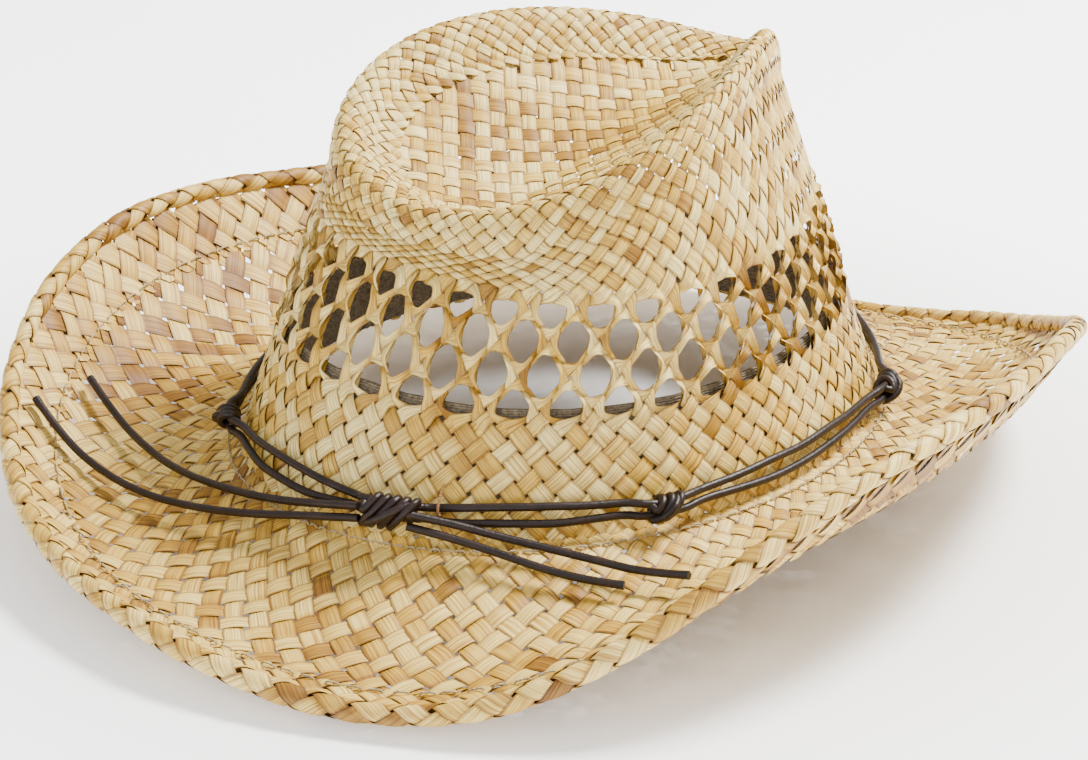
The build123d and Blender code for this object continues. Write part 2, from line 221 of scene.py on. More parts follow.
def straw_material(name, pale, mid, tan):
    """Flat straw: fibres along the strip, a tone for each strip with painted shade where it dips
    under a crossing strip, and darker edges, painted shade in the gaps between strips.
    """
    material, nodes, links, shader = node_material(name)
    uv = nodes.new("ShaderNodeUVMap")
    uv.uv_map = "strip"
    coords = nodes.new("ShaderNodeTexCoord").outputs["Object"]
    # Each strip's own tone together with painted shade: darker where the strip dips under a
    # crossing strip, paler where it lies on top.
    tone = nodes.new("ShaderNodeAttribute")
    tone.attribute_name = "tone"
    fine_grain = stretched(nodes, links, uv.outputs["UV"], (40, 2100, 1))
    fibres = noise(nodes, links, fine_grain, 1.0, 4.0)
    broad_grain = stretched(nodes, links, uv.outputs["UV"], (60, 260, 1))
    broad = noise(nodes, links, broad_grain, 1.0, 2.0)
    patches = noise(nodes, links, coords, 26.0)
    add = nodes.new("ShaderNodeMath")
    add.operation = "MULTIPLY_ADD"
    links.new(patches, add.inputs[0])
    add.inputs[1].default_value = 0.75
    links.new(tone.outputs["Fac"], add.inputs[2])
    colour = link_ramp(nodes, links, add.outputs[0], [(0.38, tan), (0.55, mid), (0.76, pale)])
    lines = link_ramp(nodes, links, fibres, [(0.36, (0.42, 0.27, 0.10)), (0.58, WHITE)])
    colour = mixed(nodes, links, "MULTIPLY", 0.9, colour, lines)
    blotch = link_ramp(nodes, links, broad, [(0.28, (0.78, 0.64, 0.42)), (0.5, WHITE)])
    colour = mixed(nodes, links, "MULTIPLY", 0.55, colour, blotch)
    # Painted shade: the strip is darkened towards its edges, for the shade in the gaps between
    # crossing strips.
    edge = nodes.new("ShaderNodeAttribute")
    edge.attribute_name = "edge"
    painted_edge_shade_stops = [(0.70, WHITE), (1.0, (0.30, 0.16, 0.05))]
    rim = link_ramp(nodes, links, edge.outputs["Fac"], painted_edge_shade_stops)
    colour = mixed(nodes, links, "MULTIPLY", 0.8, colour, rim)
    links.new(colour, shader.inputs["Base Color"])
    shader.inputs["Roughness"].default_value = 0.52
    shader.inputs["Specular IOR Level"].default_value = 0.35
    bump_normal(nodes, links, shader, fibres, 0.55)
    return material


def cord_material(name, colour, dark):
    """Waxed braided cord: fine slanting ribs and a soft sheen."""
    material, nodes, links, shader = node_material(name)
    coords = nodes.new("ShaderNodeTexCoord")
    ribbing = stretched(nodes, links, coords.outputs["Object"], (900, 900, 1400))
    ribs = noise(nodes, links, ribbing, 1.0, 2)
    worn = noise(nodes, links, coords.outputs["Object"], 160.0)
    worn_colour = link_ramp(nodes, links, worn, [(0.35, dark), (0.7, colour)])
    links.new(worn_colour, shader.inputs["Base Color"])
    shader.inputs["Roughness"].default_value = 0.42
    shader.inputs["Specular IOR Level"].default_value = 0.30
    bump_normal(nodes, links, shader, ribs, 0.6)
    return material


def cloth_material(name, colour, dark, scale):
    """Knitted or twisted cloth, with a fine two-way rib."""
    material, nodes, links, shader = node_material(name)
    coords = nodes.new("ShaderNodeTexCoord").outputs["Object"]
    wave = nodes.new("ShaderNodeTexWave")
    wave.bands_direction = "Z"
    wave.inputs["Scale"].default_value = scale
    wave.inputs["Distortion"].default_value = 3.0
    links.new(coords, wave.inputs["Vector"])
    fuzz = noise(nodes, links, coords, scale * 2.2, 4.0)
    tint = link_ramp(nodes, links, fuzz, [(0.3, dark), (0.7, colour)])
    ribs = link_ramp(nodes, links, wave.outputs["Fac"], [(0.2, (0.55, 0.5, 0.45)), (0.7, WHITE)])
    links.new(mixed(nodes, links, "MULTIPLY", 0.7, tint, ribs), shader.inputs["Base Color"])
    shader.inputs["Roughness"].default_value = 0.9
    bump_normal(nodes, links, shader, wave.outputs["Fac"], 0.7, 0.0004)
    return material


def steel_material(name):
    """Drawn wire with a fine uneven sheen."""
    material, nodes, links, shader = node_material(name)
    coords = nodes.new("ShaderNodeTexCoord").outputs["Object"]
    drawn = noise(nodes, links, coords, 700.0)
    greys = [(0.3, (0.30, 0.29, 0.28)), (0.7, (0.55, 0.55, 0.54))]
    links.new(link_ramp(nodes, links, drawn, greys), shader.inputs["Base Color"])
    shader.inputs["Metallic"].default_value = 1.0
    rough = nodes.new("ShaderNodeMapRange")
    rough.inputs["To Min"].default_value = 0.3
    rough.inputs["To Max"].default_value = 0.5
    links.new(drawn, rough.inputs["Value"])
    links.new(rough.outputs["Result"], shader.inputs["Roughness"])
    return material


STRAW_LIGHT = straw_material(
    "straw_light", pale=(0.94, 0.78, 0.30), mid=(0.75, 0.50, 0.075), tan=(0.35, 0.18, 0.016)
)
# Painted shade: the brim's straw is a darker copy of the crown's straw, for the brim lying in less
# light.
STRAW_BRIM_SHADED = straw_material(
    "straw_brim_shaded", pale=(0.85, 0.64, 0.18), mid=(0.62, 0.38, 0.045), tan=(0.28, 0.13, 0.010)
)
STRAW_ROLL = straw_material(
    "straw_roll", pale=(0.88, 0.69, 0.23), mid=(0.64, 0.41, 0.055), tan=(0.27, 0.13, 0.010)
)
CORD = cord_material("waxed_cord", (0.020, 0.009, 0.007), (0.008, 0.004, 0.003))
TIP = cord_material("sealed_tip", (0.014, 0.010, 0.010), (0.006, 0.005, 0.005))
BAND = cloth_material("sweatband_knit", (0.30, 0.24, 0.15), (0.10, 0.075, 0.045), 420.0)
THREAD = cloth_material("sewing_thread", (0.66, 0.55, 0.33), (0.40, 0.31, 0.16), 900.0)
TACK = cloth_material("tack_thread", (0.42, 0.20, 0.06), (0.22, 0.09, 0.03), 900.0)
STEEL = steel_material("drawn_wire")


# ------------------------------------------------------------- mesh of strips
STRIP_WIDTH = 5.0  # of a strip in the pattern of its fibres
CELL = 5.0  # length along a strip from one crossing to the next, in that pattern
STRIP_SHIFT, FAMILY_SHIFT = 97.0, 41.0  # keep the patterns of two strips apart
SIDE_SHIFT = 0.013  # sideways shift of a strip's pattern, by where the strip starts
TONE = 0.24  # mean tone of a strip
SLOW_TONE = (0.06, 0.35)  # size and pace of the tone's drift along a strip
# Painted light and shade: a strip is paler where it lies on top of a crossing strip and darker
# where it dips under one.
OVER_UNDER_SHADE = 0.04  # how much paler a strip is where it lies on top
CUP = 0.18  # how much the middle of a strip stands proud of its edges


class Strips:
    """Collects ribbons as grids of points and makes one mesh of them."""

    def __init__(self):
        self.points, self.faces, self.uv, self.tone, self.edge = [], [], [], [], []
        self.count = 0

    def add(self, grid, tone, along):
        """grid is rows x columns x 3 in mm, rows along the strip; along is in mm."""
        rows, columns = grid.shape[:2]
        side = np.linspace(-1, 1, columns)
        u = along[:, None] * MM + np.zeros(columns)
        across = side[None, :] * STRIP_WIDTH / 2 * MM
        v = across + along[:1, None] * SIDE_SHIFT + np.zeros((rows, 1))
        index = np.arange(rows * columns).reshape(rows, columns) + self.count
        corners = [index[:-1, :-1], index[:-1, 1:], index[1:, 1:], index[1:, :-1]]
        quads = np.stack(corners, axis=-1)
        self.points.append(grid.reshape(-1, 3) * MM)
        self.faces.append(quads.reshape(-1, 4))
        self.uv.append(np.stack([u, v], axis=-1).reshape(-1, 2))
        self.tone.append(np.broadcast_to(tone, (rows, columns)).reshape(-1))
        self.edge.append(np.broadcast_to(np.abs(side), (rows, columns)).reshape(-1))
        self.count += rows * columns

    def build(self, name, material):
        """One smooth mesh, with the strips' pattern, tones and edges on it."""
        points = np.concatenate(self.points)
        faces = np.concatenate(self.faces)
        mesh = bpy.data.meshes.new(name)
        mesh.from_pydata(points.tolist(), [], faces.tolist())
        corners = faces.reshape(-1)
        layer = mesh.uv_layers.new(name="strip")
        pattern = np.concatenate(self.uv)[corners].astype(np.float32)
        layer.data.foreach_set("uv", pattern.reshape(-1))
        for label, values in (("tone", self.tone), ("edge", self.edge)):
            attribute = mesh.attributes.new(label, "FLOAT", "POINT")
            attribute.data.foreach_set("value", np.concatenate(values).astype(np.float32))
        mesh.polygons.foreach_set("use_smooth", np.ones(len(faces), dtype=bool))
        mesh.materials.append(material)
        mesh.update()
        piece = bpy.data.objects.new(name, mesh)
        bpy.context.scene.collection.objects.link(piece)
        print(name, len(faces), "faces")
        return piece


class Weave:
    """Plain weave at 45 degrees on a surface of (phi, s).

    k(s) counts the rows of crossings.  With n strips, those of one family keep
    p = n turn + k whole, and those of the other keep q = n turn - k whole.
    sign turns the normal outward, mid is the depth of the weave's middle below
    the surface, and lift is how far a strip rides above or below that middle.
    """

    TURNS = np.linspace(0, 1, 181)
    HALF_WIDTH = 0.462  # of a strip, as a share of a cell
    CELLS = 400  # of tones along one strip

    def __init__(self, surface, s_values, strips, sign=1.0, mid=0.9, lift=0.50, seed=0, k_fix=None):
        self.surface, self.strips, self.seed = surface, strips, seed
        self.sign, self.mid, self.lift = sign, mid, lift
        self.s_values = np.asarray(s_values, dtype=float)
        fine = np.linspace(0, 2 * np.pi, 361)
        rows = [surface(fine, np.full_like(fine, s)) for s in self.s_values]
        self.table = []
        self.k_values = [0.0]
        for row in rows:
            steps = np.linalg.norm(np.diff(row, axis=0), axis=-1)
            walked = np.concatenate([[0], np.cumsum(steps)])
            self.table.append(np.interp(self.TURNS, walked / walked[-1], fine))
        for a, b in zip(rows, rows[1:]):
            step = np.linalg.norm(b - a, axis=-1).mean()
            girth = np.linalg.norm(np.diff((a + b) / 2, axis=0), axis=-1).sum()
            self.k_values.append(self.k_values[-1] + step * strips / girth)
        self.table = np.array(self.table)
        self.k_values = np.array(self.k_values)
        if k_fix is not None:
            self.k_values = k_fix(self.s_values, self.k_values)
        self.squeeze = None

    def k_at(self, s):
        return float(np.interp(s, self.s_values, self.k_values))

    def s_of(self, k):
        return np.interp(k, self.k_values, self.s_values)

    def phi_of(self, turn, s):
        """Angle that spaces points evenly round the hat at s."""
        whole = np.floor(turn)
        column = (turn - whole) * (len(self.TURNS) - 1)
        row = np.interp(s, self.s_values, np.arange(len(self.s_values)))
        c0 = np.clip(np.floor(column).astype(int), 0, len(self.TURNS) - 2)
        r0 = np.clip(np.floor(row).astype(int), 0, len(self.s_values) - 2)
        c, r = column - c0, row - r0
        t = self.table
        low = t[r0, c0] * (1 - c) + t[r0, c0 + 1] * c
        high = t[r0 + 1, c0] * (1 - c) + t[r0 + 1, c0 + 1] * c
        return low * (1 - r) + high * r + 2 * np.pi * whole

    def place(self, p, q, height):
        """Points at p and q, lifted off the weave's middle by height."""
        s = self.s_of((p - q) / 2)
        phi = self.phi_of((p + q) / (2 * self.strips), s)
        step = NUDGE * (self.s_values[-1] - self.s_values[0])
        along = self.surface(phi + NUDGE, s) - self.surface(phi - NUDGE, s)
        up = self.surface(phi, s + step) - self.surface(phi, s - step)
        normal = np.cross(along, up) * self.sign
        normal /= np.maximum(np.linalg.norm(normal, axis=-1, keepdims=True), 1e-9)
        return self.surface(phi, s) + normal * (height - self.mid)[..., None]

    def strip(self, out, family, i, k0, k1, per_cell, columns):
        """Adds strip i of a family, from row k0 to row k1, to the mesh out."""
        own = np.random.default_rng((self.seed, family, i))
        sign = -1 if family == 0 else 1
        first, last = sorted((i + 2 * sign * k0, i + 2 * sign * k1))
        run = np.linspace(first, last, max(3, int((last - first) * per_cell) + 1))
        side = np.linspace(-1, 1, columns)
        ripple, breadth, waver, drift = own.uniform(0, ANY_PHASE, 4)
        crossing = np.cos(np.pi * (run + i))
        centre = i + own.uniform(-0.035, 0.035) + 0.045 * np.sin(run * 0.9 + ripple)
        uneven = 1 + 0.05 * np.sin(run * 1.7 + breadth) + own.uniform(-0.08, 0.03)
        half = self.HALF_WIDTH * uneven
        half = half * (1 - 0.06 * (1 - crossing**2))
        twist = 0.10 * np.sin(run * 1.3 + waver)
        lift = np.full_like(run, self.lift)
        if self.squeeze is not None:
            shaped = self.squeeze(self, family, i, run, half, centre, twist, own)
            half, centre, twist, extra = shaped
            lift = lift + extra
        across = centre[:, None] + half[:, None] * side[None, :]
        ahead = run[:, None] + np.zeros(columns)[None, :]
        over = crossing if family == 0 else -crossing
        cup = CUP * (1 - side[None, :] ** 2)
        height = (lift * over)[:, None] + cup + twist[:, None] * side[None, :]
        p, q = (across, ahead) if family == 0 else (ahead, across)
        cell_tone = np.random.default_rng((self.seed, family, i, 1)).normal(0, 0.06, self.CELLS)
        cell = (np.floor(run + 0.5).astype(int) + self.CELLS // 2) % self.CELLS
        tone = own.normal(TONE, 0.10) + SLOW_TONE[0] * np.sin(run * SLOW_TONE[1] + drift)
        # Painted shade: paler where the strip lies on top, darker where it dips under.
        tone = tone + OVER_UNDER_SHADE * over + cell_tone[cell]
        pattern = run * CELL + STRIP_SHIFT * i + FAMILY_SHIFT * family
        out.add(self.place(p, q, height), tone[:, None], pattern)

    def piece(self, name, material, s0, s1, per_cell=5, columns=5):
        """One mesh of both families, from s0 to s1."""
        out = Strips()
        for family in (0, 1):
            for i in range(self.strips):
                self.strip(out, family, i, self.k_at(s0), self.k_at(s1), per_cell, columns)
        return out.build(name, material)


def finish_piece(piece, slot, *nodes):
    """Says what body a piece rides and what nodes it replaces; its slot is not used."""
    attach(piece, "root")
    if nodes:
        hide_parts(*nodes)
    return piece


# ------------------------------------------------------------------- the crown
UPPER_SCALE = 20.0  # s runs on from the top of the vents, this much to each stage
LIP_S = WALL_TOP + 2.12 * UPPER_SCALE  # the crossing strips end just inside the lip
CROWN_STRIPS = 72  # of each family
BASE_S = (-1.0, 28.0)  # the solid weave below the vents
LAST_ROWS = 3.45  # rows of crossings from the first row of vents to their top


def crown(phi, s):
    """Crown by s: the height up to the top of the vents, then the stages above."""
    s = np.asarray(s, dtype=float) + np.zeros_like(phi)
    wall = crown_wall(phi, np.minimum(s, WALL_TOP))
    upper = crown_surface(phi, np.maximum(s - WALL_TOP, 0) / UPPER_SCALE)
    return np.where((s <= WALL_TOP)[..., None], wall, upper)


def vents_on_whole_rows(s, k):
    """Shifts and stretches k so that each row of vents lies on a whole number."""
    first = np.interp(VENT_ROW_Z[0], s, k)
    start = round(float(first))
    knots_s = [s[0], VENT_ROW_Z[0]] + VENT_ROW_Z[1:] + [WALL_TOP]
    knots_k = [start - (first - k[0]), start, start + 1, start + 2, start + 3, start + LAST_ROWS]
    below = np.interp(s, knots_s, knots_k)
    below = np.where(s < VENT_ROW_Z[0], k - first + start, below)
    above = k - np.interp(WALL_TOP, s, k) + start + LAST_ROWS
    return np.where(s <= WALL_TOP, below, above)


def smooth(x):
    """Eased step from 0 to 1."""
    x = np.clip(x, 0, 1)
    return x * x * (3 - 2 * x)


def open_vents(weave, family, i, run, half, centre, twist, own):
    """Draws the strips together in pairs between the nodes of the lattice."""
    k = (i - run) / 2 if family == 0 else (run - i) / 2
    z = weave.s_of(k)
    open_here = smooth((z - 27.5) / 5.5) * (1 - smooth((z - 57.0) / 5.0))
    node = ((1 + np.cos(np.pi * (run - 0.5))) / 2) ** 3.4
    side = 1 if i % 2 else -1
    pair = i - 0.5 * side
    squeezed = pair + side * (0.09 + 0.34 * node)
    centre = centre + (squeezed - centre) * open_here
    narrow = 0.12 + 0.27 * node + 0.025 * np.sin(run * 2.1 + own.uniform(0, ANY_PHASE))
    half = half + (narrow - half) * open_here
    roll = side * own.uniform(0.6, 1.3) * (1 - node)
    roll = roll + own.uniform(-0.5, 0.5) * np.sin(np.pi * (run - 0.5))
    return half, centre, twist + open_here * roll, 0.3 * open_here


crown_levels = np.concatenate(
    [np.linspace(BASE_S[0], WALL_TOP, 43), np.linspace(WALL_TOP + 1, LIP_S, 42)]
)
crown_weave = Weave(crown, crown_levels, CROWN_STRIPS, seed=3, k_fix=vents_on_whole_rows)
crown_weave.squeeze = open_vents

base = crown_weave.piece("crown_base_weave", STRAW_LIGHT, *BASE_S)
finish_piece(base, "straw", "crown_base_band")
lattice = crown_weave.piece(
    "vent_lattice", STRAW_LIGHT, BASE_S[1], WALL_TOP, per_cell=9, columns=7
)
finish_piece(lattice, "straw_lattice", "vent_band")
upper = crown_weave.piece("crown_top_weave", STRAW_LIGHT, WALL_TOP, LIP_S)
finish_piece(upper, "straw", "crown_top")


def inside(points, outline):
    """True for each plan point that lies within a closed outline."""
    x, y = points[..., 0:1], points[..., 1:2]
    x0, y0 = outline[:, 0], outline[:, 1]
    x1, y1 = np.roll(x0, -1), np.roll(y0, -1)
    rise = np.where(y1 == y0, 1e-9, y1 - y0)
    crosses = ((y0 > y) != (y1 > y)) & (x < (x1 - x0) * (y - y0) / rise + x0)
    return crosses.sum(axis=-1) % 2 == 1


DENT_CELL = 4.7  # side of a square of the weave in the dent
DENT_REACH = 30  # strips and cells each way from the middle, more than the dent needs
DENT_DEPTH = 1.35  # of that weave's middle below the crown's surface
DENT_COLUMNS = 5
HIGH_Z = 300  # above the whole hat
NEAR_Z = 100  # for points of the plan that no ray meets


def dent_weave():
    """Straight crossing strips that line the dent, tucked under the lip."""
    phi = np.linspace(0, 2 * np.pi, 121)
    u = np.linspace(1.7, 3.0, 60)
    grid = np.array([crown_surface(phi, np.full_like(phi, a)) for a in u])
    columns = len(phi)
    faces = [
        (r * columns + c, r * columns + c + 1, (r + 1) * columns + c + 1, (r + 1) * columns + c)
        for r in range(len(u) - 1)
        for c in range(columns - 1)
    ]
    tree = BVHTree.FromPolygons([tuple(p) for p in grid.reshape(-1, 3)], faces)
    edge = crown_surface(phi[:-1], np.full(columns - 1, 2.06))
    out = Strips()
    side = np.linspace(-1, 1, DENT_COLUMNS)
    for family in (0, 1):
        for i in range(-DENT_REACH, DENT_REACH + 1):
            own = np.random.default_rng((11, family, i + 100))
            run = np.arange(-DENT_REACH, DENT_REACH + 0.01, 0.2)
            wobble = 0.05 * np.sin(run * 0.8 + own.uniform(0, ANY_PHASE))
            half = 0.46 * (1 + own.uniform(-0.08, 0.02))
            a = (i + wobble)[:, None] + half * side[None, :]
            b = run[:, None] + np.zeros(DENT_COLUMNS)[None, :]
            if family:
                a, b = b, a
            x = CENTRE[0] + (a + b) * DENT_CELL / math.sqrt(2)
            y = CENTRE[1] + KEEL[0] + (a - b) * DENT_CELL / math.sqrt(2)
            plan = np.stack([x, y], axis=-1)
            kept = np.nonzero(inside(plan, edge[:, :2]).all(axis=1))[0]
            if len(kept) < 4:
                continue
            rows = slice(kept[0], kept[-1] + 1)
            over = np.cos(np.pi * (run[rows] + i)) * (1 if family == 0 else -1)
            points = np.zeros((kept[-1] + 1 - kept[0], DENT_COLUMNS, 3))
            for r in range(points.shape[0]):
                for c in range(DENT_COLUMNS):
                    px, py = plan[rows][r, c]
                    above = Vector((px, py, HIGH_Z))
                    hit, normal, _, _ = tree.ray_cast(above, Vector((0, 0, -1)))
                    if hit is None:
                        hit, normal, _, _ = tree.find_nearest(Vector((px, py, NEAR_Z)))
                    up = normal if normal.z > 0 else -normal
                    lift = 0.42 * over[r] + CUP * (1 - side[c] ** 2) - DENT_DEPTH
                    points[r, c] = hit + up * lift
            tone = own.normal(TONE, 0.12) + SLOW_TONE[0] * np.sin(run[rows] * SLOW_TONE[1])
            # Painted shade: paler where the strip lies on top, darker where it dips under.
            tone = tone + OVER_UNDER_SHADE * over
            pattern = run[rows] * CELL + STRIP_SHIFT * i + FAMILY_SHIFT * family
            out.add(points, tone[:, None], pattern)
    return out.build("crown_dent_weave", STRAW_LIGHT)


finish_piece(dent_weave(), "straw", "crown_top")

# -------------------------------------------------------------------- the brim
HEM_T = 0.80  # inner edge of the hem, as a share of the brim's width
NEAR_EDGE = 0.985  # just inside the edge, in the same shares
INNER_STRIPS, OUTER_STRIPS = 90, 108  # of each family, inside and outside HEM_T
ROLL_STRIPS = 96
UNDER_MID = 2.7  # depth of the folded layer's middle below the top of the brim

inner_levels = np.linspace(-0.01, HEM_T + 0.01, 30)
outer_levels = np.linspace(HEM_T - 0.02, NEAR_EDGE, 12)
under_levels = np.linspace(HEM_T, 0.975, 12)
brim_inner = Weave(brim_surface, inner_levels, INNER_STRIPS, sign=-1.0, seed=5)
brim_outer = Weave(brim_surface, outer_levels, OUTER_STRIPS, sign=-1.0, seed=6)
brim_under = Weave(brim_surface, under_levels, OUTER_STRIPS, sign=-1.0, mid=UNDER_MID, seed=8)

inner = brim_inner.piece("brim_weave_inner", STRAW_BRIM_SHADED, 0.0, HEM_T)
finish_piece(inner, "straw", "brim")
outer = brim_outer.piece("brim_weave_outer", STRAW_BRIM_SHADED, HEM_T - 0.015, 0.98)
finish_piece(outer, "straw", "brim")
under = brim_under.piece("brim_hem_weave", STRAW_BRIM_SHADED, HEM_T, 0.97)
finish_piece(under, "straw", "brim_hem")


def edge_frame(phi):
    """Centre of the rolled edge and its two cross directions."""
    near = brim_surface(phi, np.full_like(phi, NEAR_EDGE))
    far = brim_surface(phi, np.full_like(phi, 1.0))
    out = far - near
    out /= np.linalg.norm(out, axis=-1, keepdims=True)
    at_edge = np.full_like(phi, 1.0)
    ring = brim_surface(phi + NUDGE, at_edge) - brim_surface(phi - NUDGE, at_edge)
    up = -np.cross(ring, out)
    up /= np.linalg.norm(up, axis=-1, keepdims=True)
    return far - up * STRAW / 2, out, up


def roll_surface(phi, s):
    """Tube along the edge; s runs once round it from the underside's inner corner."""
    centre, out, up = edge_frame(phi)
    angle = -0.75 * np.pi + 2 * np.pi * np.asarray(s)
    radius = ROLL_R * (0.90 + 0.05 * np.sin(9 * phi) + 0.04 * np.sin(23 * phi))
    level = out * (np.cos(angle) * radius)[..., None]
    return centre + level + up * (np.sin(angle) * radius)[..., None]


def two_rows(s, k):
    """Two rows of crossings in one turn round the roll."""
    return 2.0 * (s - s[0]) / (s[-1] - s[0])


roll_weave = Weave(
    roll_surface, np.linspace(0, 1, 13), ROLL_STRIPS, mid=0.0, lift=0.4, seed=9, k_fix=two_rows
)
roll = roll_weave.piece("edge_roll_weave", STRAW_ROLL, 0.0, 1.0, per_cell=8)
finish_piece(roll, "straw_roll", "brim_edge_roll")


# ------------------------------------------------------------- the inner parts
def band_mesh(name, material, loop, turns=240):
    """Closed ring of cloth: loop(phi) gives the points of its section, in order."""
    sections = np.array([loop(2 * np.pi * i / turns) for i in range(turns)])
    count = sections.shape[1]
    faces = []
    for i in range(turns):
        here, ahead = i * count, ((i + 1) % turns) * count
        for j in range(count):
            k = (j + 1) % count
            faces.append((here + j, ahead + j, ahead + k, here + k))
    mesh = bpy.data.meshes.new(name)
    mesh.from_pydata((sections.reshape(-1, 3) * MM).tolist(), [], faces)
    mesh.polygons.foreach_set("use_smooth", np.ones(len(faces), dtype=bool))
    mesh.materials.append(material)
    mesh.update()
    piece = bpy.data.objects.new(name, mesh)
    bpy.context.scene.collection.objects.link(piece)
    return piece


def sweat_loop(phi):
    """Section of the sweatband: a soft strip with a rolled top edge."""
    outer_inset, inner_inset = 2.3, 3.2  # of its two faces, from the crown's outside
    ripple = 0.18 * math.sin(31 * phi) + 0.12 * math.sin(53 * phi + 1)
    heights = [0.6, 6, 12, 18, 24, 29, 31.2, 31.8]
    swell = [0, 0.1, 0.15, 0.1, 0, 0.1, 0.35, 0.1]
    points = []
    for z in heights:
        points.append(crown_wall(np.array(phi), np.array(z), outer_inset + ripple * z / 64 + 0.1))
    for z, s in zip(heights[::-1], swell[::-1]):
        points.append(crown_wall(np.array(phi), np.array(z), inner_inset + s + ripple))
    return np.array(points)


finish_piece(band_mesh("sweatband_knit_band", BAND, sweat_loop), "sweatband_cloth", "sweatband")


def curve_piece(name, material, splines, radius, resolution=6, order=3):
    """Round cord or thread along one or more open lines, given in mm."""
    curve = bpy.data.curves.new(name, "CURVE")
    curve.dimensions = "3D"
    curve.bevel_depth = radius * MM
    curve.bevel_resolution = 3
    curve.resolution_u = resolution
    curve.use_fill_caps = True
    for points in splines:
        spline = curve.splines.new("NURBS")
        spline.points.add(len(points) - 1)
        for point, at in zip(spline.points, points):
            point.co = (at[0] * MM, at[1] * MM, at[2] * MM, 1)
        spline.order_u = min(order, len(points))
        spline.use_endpoint_u = True
    curve.materials.append(material)
    piece = bpy.data.objects.new(name, curve)
    bpy.context.scene.collection.objects.link(piece)
    return piece


THREAD_R = 0.28


def stitches(line, count, share, seed):
    """Short threads along a closed line, each a share of its pitch; line(phi) is in mm."""
    own = np.random.default_rng(seed)
    rows = []
    for k in range(count):
        start = 2 * np.pi * (k + own.uniform(-0.1, 0.1)) / count
        stop = start + 2 * np.pi * share / count
        ends = [line(np.array(a)) for a in (start, (start + stop) / 2, stop)]
        rise = np.array([0, 0, 0.35])
        first = [ends[0] - rise, ends[0] + rise * 0.4]
        rows.append(first + [ends[1] + rise, ends[2] + rise * 0.4, ends[2] - rise])
    return rows


def above_brim(t, lift):
    """A line round the brim at t, lifted a little."""
    return lambda phi: brim_surface(phi, np.full_like(phi, t)) + np.array([0, 0, lift])


hem_rows = stitches(above_brim(HEM_T + 0.012, 0.05), 150, 0.62, 21)
hem_thread = curve_piece("hem_stitches", THREAD, hem_rows, THREAD_R, 3)
finish_piece(hem_thread, "thread", "hem_stitching")
seam_rows = stitches(above_brim(0.055, 0.10), 170, 0.7, 22)
seam_thread = curve_piece("seam_stitches", THREAD, seam_rows, THREAD_R, 3)
finish_piece(seam_thread, "thread", "seam_stitching")
sweat_rows = stitches(lambda phi: crown_wall(phi, np.array(29.9), 4.0), 170, 0.6, 23)
sweat_thread = curve_piece("sweatband_stitches", THREAD, sweat_rows, 0.25, 3)
finish_piece(sweat_thread, "thread", "sweatband_stitching")

# ----------------------------------------------------------------- the hatband
KNOT_ANGLES = [62, 122, 173, 225, 275, 325]  # degrees of phi
MAIN_ANGLE = 17
MAIN_Z, KNOT_Z = 7.6, 6.6  # heights above the break
MAIN_R, KNOT_R = 6.0, 4.4
MAIN_LENGTH, KNOT_LENGTH = 17.0, 11.0
STRAND_Z = (8.8, 4.4)  # heights of the upper and lower strand midway between knots
MAIN_INSET = -2.2  # the strands enter the main knot close to the crown
STRAND_OFFSET = (2.0, -1.9)  # where each leaves a knot, above or below its middle
STRAND_MID = KNOT_Z + 0.8  # height of both strands close to a knot
WOUND_STEPS = 10  # points to one turn of a wound cord
KNOT_SLANT = 0.75  # how far a turn leans along the band for each mm up


def knot_frame(angle, z, radius):
    """Centre of a knot, and its outward, upward and along directions."""
    phi = np.array(math.radians(angle))
    centre = crown_wall(phi, np.array(z), -1.17 * radius - 0.6)
    out = outward(phi)
    return centre, out, np.array([0, 0, 1.0]), np.cross([0, 0, 1.0], out)


def at(knot, out, up, along):
    """A point near a knot, by its distances along the knot's directions."""
    return knot[0] + knot[1] * out + knot[2] * up + knot[3] * along


def wound_knot(name, knot, turns, length, wide, tall, slant):
    """Cord wound round the band in slanting turns, its ends tucked inside."""
    steps = int(turns * WOUND_STEPS)
    path = [at(knot, 0, 0.4 * tall, -length / 2 - 0.4)]
    for k in range(steps + 1):
        angle = 2 * math.pi * k / WOUND_STEPS
        along = -length / 2 + length * k / steps
        up = tall * math.sin(angle)
        out = wide * math.cos(angle) * (1 + 0.06 * math.sin(angle * 0.5))
        path.append(at(knot, out, up, along + slant * up))
    path.append(at(knot, 0, -0.4 * tall, length / 2 + 0.4))
    crossing = [
        at(knot, 0.2 * wide, -0.9 * tall, -0.55 * length),
        at(knot, 1.25 * wide, -0.55 * tall, -0.30 * length),
        at(knot, 1.55 * wide, 0.1 * tall, 0.02 * length),
        at(knot, 1.25 * wide, 0.65 * tall, 0.32 * length),
        at(knot, 0.2 * wide, 0.8 * tall, 0.55 * length),
    ]
    return curve_piece(name, CORD, [path, crossing], CORD_R * 0.98, order=4)


main_knot = knot_frame(MAIN_ANGLE, MAIN_Z, MAIN_R)
piece = wound_knot(
    "main_knot_cord", main_knot, turns=4.5, length=12.5, wide=3.7, tall=4.4, slant=KNOT_SLANT
)
finish_piece(piece, "cord", "main_knot")
band = [(MAIN_ANGLE, main_knot, MAIN_LENGTH / 2, MAIN_INSET)]
for number, angle in enumerate(KNOT_ANGLES, start=1):
    knot = knot_frame(angle, KNOT_Z, KNOT_R)
    piece = wound_knot(
        f"overhand_knot_cord_{number}", knot, turns=2.5, length=6.8, wide=2.7, tall=3.1,
        slant=KNOT_SLANT,
    )
    finish_piece(piece, "cord", f"overhand_knot_{number}")
    band.append((angle, knot, KNOT_LENGTH / 2, 0.0))

